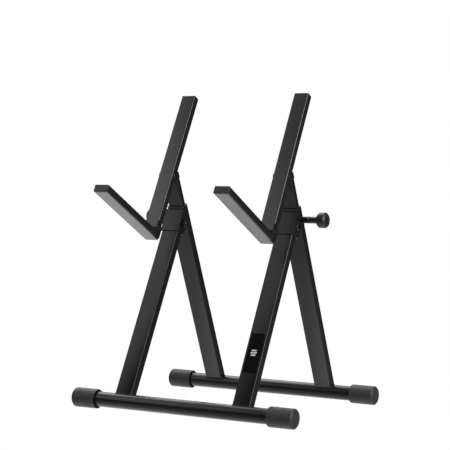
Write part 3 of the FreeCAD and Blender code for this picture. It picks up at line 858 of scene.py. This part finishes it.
class BuildArms(bpy.types.Operator):
    """Support arms: tubes, rubber covers, end caps, hinge brackets and pins"""
    bl_idname = "stand.build_arms"
    bl_label = "Support arms"

    def execute(self, context):
        sizes = context.scene.stand_sizes
        centre = Vector((0, ARM.y, ARM.z))
        for side_name, side in SIDES:
            body = "arm_" + side_name
            softened("arm_tube_" + side_name, "paint", body, sizes.leg_edge)
            softened("arm_cover_" + side_name, "rubber", body, sizes.rubber_edge, 3)
            softened("arm_cap_" + side_name, "plastic", body, sizes.leg_edge)
            softened("arm_bracket_" + side_name, "paint", body, sizes.sheet_edge)
            pin = self.pin(sizes, centre)
            stand_in("arm_pin", side_name, side, pin, "hardware", body)
        return {"FINISHED"}

    def pin(self, sizes, centre):
        """Plain shank between two low crowned heads."""
        low, high, head_radius = node_span("arm_pin_right")
        inner_low, inner_high = (box.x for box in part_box("arm_bracket_right"))
        shank = sizes.pin_shank / 2
        crown = 0.6 * MM
        corners = [(low, 0, 0), (low, head_radius * 0.55, 0.6 * MM), (low + crown, head_radius, 0.2 * MM),
                   (inner_low, head_radius, 0), (inner_low, shank, 0), (inner_high, shank, 0),
                   (inner_high, head_radius, 0), (high - crown, head_radius, 0.2 * MM),
                   (high, head_radius * 0.55, 0.6 * MM), (high, 0, 0)]
        return turned(corners, centre, "arm_pin", SMALL_RING)


class BuildClamps(bpy.types.Operator):
    """Height clamps: welded bosses, threaded screws, pads and knobs"""
    bl_idname = "stand.build_clamps"
    bl_label = "Height clamps"

    def execute(self, context):
        sizes = context.scene.stand_sizes
        trees = {"thread": thread_tree(), "weld": weld_tree()}
        centre = Vector((0, CLAMP.y, CLAMP.z))
        for side_name, side in SIDES:
            self.boss(sizes, side_name, side, centre, trees["weld"])
            self.screw(sizes, side_name, side, centre, trees["thread"])
            self.knob(sizes, side_name, side, centre)
            painted("pressure_pad_" + side_name, "nylon")
        return {"FINISHED"}

    def boss(self, sizes, side_name, side, centre, tree):
        low, high, radius = node_span("clamp_boss_right")
        bore = sizes.screw_shank / 2 + 0.1 * MM
        corners = [(low, bore, 0), (low, radius, 0), (high - 0.7 * MM, radius, 0.3 * MM),
                   (high, radius - 0.7 * MM, 0.2 * MM), (high, bore, 0)]
        mesh_data = turned(corners, centre, "clamp_boss", closed_loop=True)
        stand_in("clamp_boss", side_name, side, mesh_data, "paint", "rear_frame")
        ring = [point + centre for point in circle(low + 0.2 * MM, radius)]
        values = {"Bead Radius": sizes.weld_radius * 0.8, "Step": sizes.weld_step, "Seed": 9 + side}
        weld("boss_weld_" + side_name, ring, Matrix.Identity(4), side, "rear_frame", values, tree)

    def screw(self, sizes, side_name, side, centre, tree):
        low, high, radius = node_span("clamp_screw_right")
        core = radius - 0.5 * MM
        corners = [(low, 0, 0), (low, core - 0.5 * MM, 0.1 * MM), (low + 0.8 * MM, core, 0.1 * MM),
                   (high, core, 0.1 * MM), (high, 0, 0)]
        body_mesh = turned(corners, centre, "clamp_screw", SMALL_RING)
        margin = sizes.thread_pitch
        values = {"Radius": core, "Pitch": sizes.thread_pitch, "Length": high - low - 2 * margin,
                  "Start": centre + Vector((low + margin, 0, 0)), "Material": materials["steel"]}
        threaded = grown(tree, body_mesh, values, "clamp_screw")
        stand_in("clamp_screw", side_name, side, threaded, "steel", "clamp_" + side_name)

    def knob(self, sizes, side_name, side, centre):
        low, high, radius = node_span("clamp_knob_right")
        neck = node_span("clamp_boss_right")[2]
        shoulder = high - sizes.knob_head
        bore = sizes.screw_shank / 2
        bevel = sizes.knob_bevel
        seat = node_span("clamp_screw_right")[1]
        corners = [
            (seat, 0, 0), (seat, bore, 0), (low, bore, 0), (low, neck - 0.8 * MM, 0.2 * MM),
            (low + 0.8 * MM, neck, 0.4 * MM), (shoulder, neck, 0.8 * MM),
            (shoulder, radius - bevel, 0.5 * MM), (shoulder + bevel, radius, 0.9 * MM),
            (high - bevel, radius, 0.9 * MM), (high, radius - bevel, 0.5 * MM),
            (high, radius * 0.5, 0.2 * MM), (high - 0.5 * MM, radius * 0.45, 0.3 * MM),
            (high - 0.5 * MM, 0, 0)]
        mesh_data = turned(corners, centre, "clamp_knob", FINE_RING)
        stand_in("clamp_knob", side_name, side, mesh_data, "plastic", "clamp_" + side_name)


class BuildLabel(bpy.types.Operator):
    """Gloss label plate with a plain printed mark"""
    bl_idname = "stand.build_label"
    bl_label = "Label plate"

    def execute(self, context):
        sizes = context.scene.stand_sizes
        softened("label_plate", "label", "front_frame", sizes.leg_edge, 3)
        piece("label_print", self.bars(sizes), "mark", "front_frame")
        return {"FINISHED"}

    def bars(self, sizes):
        """Three slanted bars of plain print, a hair proud of the plate."""
        low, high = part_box("label_plate")
        on_leg = leaning(Vector((0, FOLD.y, FOLD.z)), FRONT_LEAN)
        surface = -sizes.front_leg_depth / 2 - sizes.label_thick
        middle = on_leg.inverted() @ ((low + high) / 2)
        size = sizes.mark_size
        row_step = size * 0.36
        outer_share = 0.78
        tall = size * 0.11
        slant = size * 0.08
        proud = 0.04 * MM
        bm = bmesh.new()
        for row, share in ((-1, outer_share), (0, 1.0), (1, outer_share)):
            z = middle.z + row * row_step
            half = size / 2 * share
            outline = [(-half - slant, -tall), (half - slant, -tall),
                       (half + slant, tall), (-half + slant, tall)]
            layers = []
            for depth in (surface, surface - proud):
                layers.append([bm.verts.new(on_leg @ Vector((LEG_PLANE + x, depth, z + dz)))
                               for x, dz in outline])
            bm.faces.new(layers[0])
            bm.faces.new(layers[1])
            for i in range(4):
                after = (i + 1) % 4
                bm.faces.new((layers[0][i], layers[0][after], layers[1][after], layers[1][i]))
        return mesh_from(bm, "label_print")


class BuildStage(bpy.types.Operator):
    """Soft studio lights and the camera"""
    bl_idname = "stand.build_stage"
    bl_label = "Stage"

    def execute(self, context):
        low, high = cad_box
        middle = (Vector(low) + Vector(high)) / 2
        self.surroundings(context)
        for name, offset, size, power in LIGHTS:
            self.light(context, name, middle, offset, size, power)
        self.camera(context)
        context.scene.view_settings.view_transform = "Standard"
        return {"FINISHED"}

    def surroundings(self, context):
        """White to look at; as light, bright from below, dim at eye level and dark at the back right."""
        world = bpy.data.worlds.new("studio")
        context.scene.world = world
        world.use_nodes = True
        world.node_tree.nodes.clear()
        sheet = Sheet(world.node_tree)
        direction = sheet.add("ShaderNodeTexCoord", {}, {}, "Generated")
        height = sheet.add("ShaderNodeSeparateXYZ", {}, {0: direction}, "Z")
        depth = sheet.add("ShaderNodeSeparateXYZ", {}, {0: direction}, "Y")
        back_right = sheet.add("ShaderNodeVectorMath", {"operation": "DOT_PRODUCT"},
                               {0: direction, 1: FLAG_DIRECTION}, "Value")
        flag = limited(sheet, (back_right - 0.35) / 0.35)
        room = sheet.add("ShaderNodeValToRGB", {"stops": ROOM_STOPS}, {"Fac": height * 0.5 + 0.5})
        seen = sheet.add("ShaderNodeLightPath", {}, {}, "Is Camera Ray")
        shaded = mix_colours(sheet, flag * 0.7, room, FLAG_GREY)
        shown = mix_colours(sheet, seen, shaded, WHITE)
        power = (1.0 - seen) * limited(sheet, 0.75 + depth * 0.5) * ROOM_POWER + seen
        background = sheet.add("ShaderNodeBackground", {}, {"Color": shown, "Strength": power})
        sheet.add("ShaderNodeOutputWorld", {}, {"Surface": background})

    def light(self, context, name, target, offset, size, power):
        """A rectangular lamp at an offset from the target, facing it."""
        data = bpy.data.lights.new(name, "AREA")
        data.shape = "RECTANGLE"
        data.size, data.size_y = size
        data.energy = power
        lamp = bpy.data.objects.new(name, data)
        lamp.location = target + Vector(offset)
        lamp.rotation_euler = (-Vector(offset)).to_track_quat("-Z", "Y").to_euler()
        context.scene.collection.objects.link(lamp)

    def camera(self, context):
        data = bpy.data.cameras.new("camera")
        data.lens = CAMERA_LENS
        camera = bpy.data.objects.new("camera", data)
        camera.matrix_world = (Matrix.Translation(CAMERA_PLACE) @ Matrix.Rotation(CAMERA_AZIMUTH, 4, "Z")
                               @ Matrix.Rotation(math.radians(90) + CAMERA_PITCH, 4, "X")
                               @ Matrix.Rotation(CAMERA_ROLL, 4, "Z"))
        context.scene.collection.objects.link(camera)
        context.scene.camera = camera


class StandPanel(bpy.types.Panel):
    """Lists the stand's pieces, sizes and finishes"""
    bl_idname = "VIEW3D_PT_stand"
    bl_label = "Amplifier Stand"
    bl_space_type = "VIEW_3D"
    bl_region_type = "UI"
    bl_category = "Stand"

    def draw(self, context):
        for operator in OPERATORS:
            self.layout.operator(operator.bl_idname)
        for group in (context.scene.stand_sizes, context.scene.stand_finish):
            box = self.layout.box()
            for name in group.__annotations__:
                box.prop(group, name)


OPERATORS = (BuildFeet, BuildLegs, BuildHinges, BuildRisers, BuildBars, BuildArms, BuildClamps, BuildLabel,
             BuildStage)
CLASSES = (StandSizes, StandFinish) + OPERATORS + (StandPanel,)


def register():
    for cls in CLASSES:
        bpy.utils.register_class(cls)
    bpy.types.Scene.stand_sizes = bpy.props.PointerProperty(type=StandSizes)
    bpy.types.Scene.stand_finish = bpy.props.PointerProperty(type=StandFinish)


def unregister():
    del bpy.types.Scene.stand_finish
    del bpy.types.Scene.stand_sizes
    for cls in reversed(CLASSES):
        bpy.utils.unregister_class(cls)


def main():
    register()
    make_materials(bpy.context.scene.stand_finish)
    bpy.ops.stand.build_stage()
    bpy.ops.stand.build_feet()
    bpy.ops.stand.build_legs()
    bpy.ops.stand.build_hinges()
    bpy.ops.stand.build_risers()
    bpy.ops.stand.build_bars()
    bpy.ops.stand.build_arms()
    bpy.ops.stand.build_clamps()
    bpy.ops.stand.build_label()


if __name__ == "__main__":
    main()
